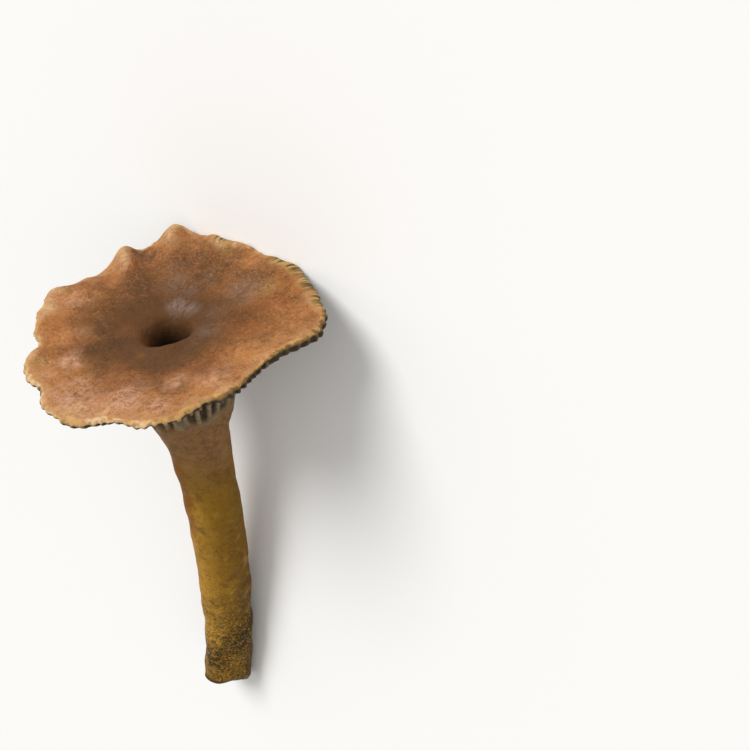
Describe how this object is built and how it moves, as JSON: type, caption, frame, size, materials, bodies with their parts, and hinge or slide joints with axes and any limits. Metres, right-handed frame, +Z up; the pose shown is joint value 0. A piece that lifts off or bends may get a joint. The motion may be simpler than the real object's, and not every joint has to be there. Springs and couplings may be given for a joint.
{
  "type": "trumpet chanterelle",
  "caption": "Whole trumpet chanterelle as picked, lying on its side: wavy funnel cap with a deep hollow, forked ridges beneath and a slightly bowed stem.",
  "frame": {"origin": "middle of the box around the mushroom, on the surface that it lies on", "axes": "+Y runs from the foot of the stem to the cap, +Z is up"},
  "size_m": [0.0414, 0.0812, 0.0378],
  "materials": {
    "flesh": "soft matt mushroom skin: brown felted cap with a pale margin, grey ridges, ochre stem"
  },
  "bodies": {
    "root": {"fruit_body": "flesh"}
  },
  "joints": []
}
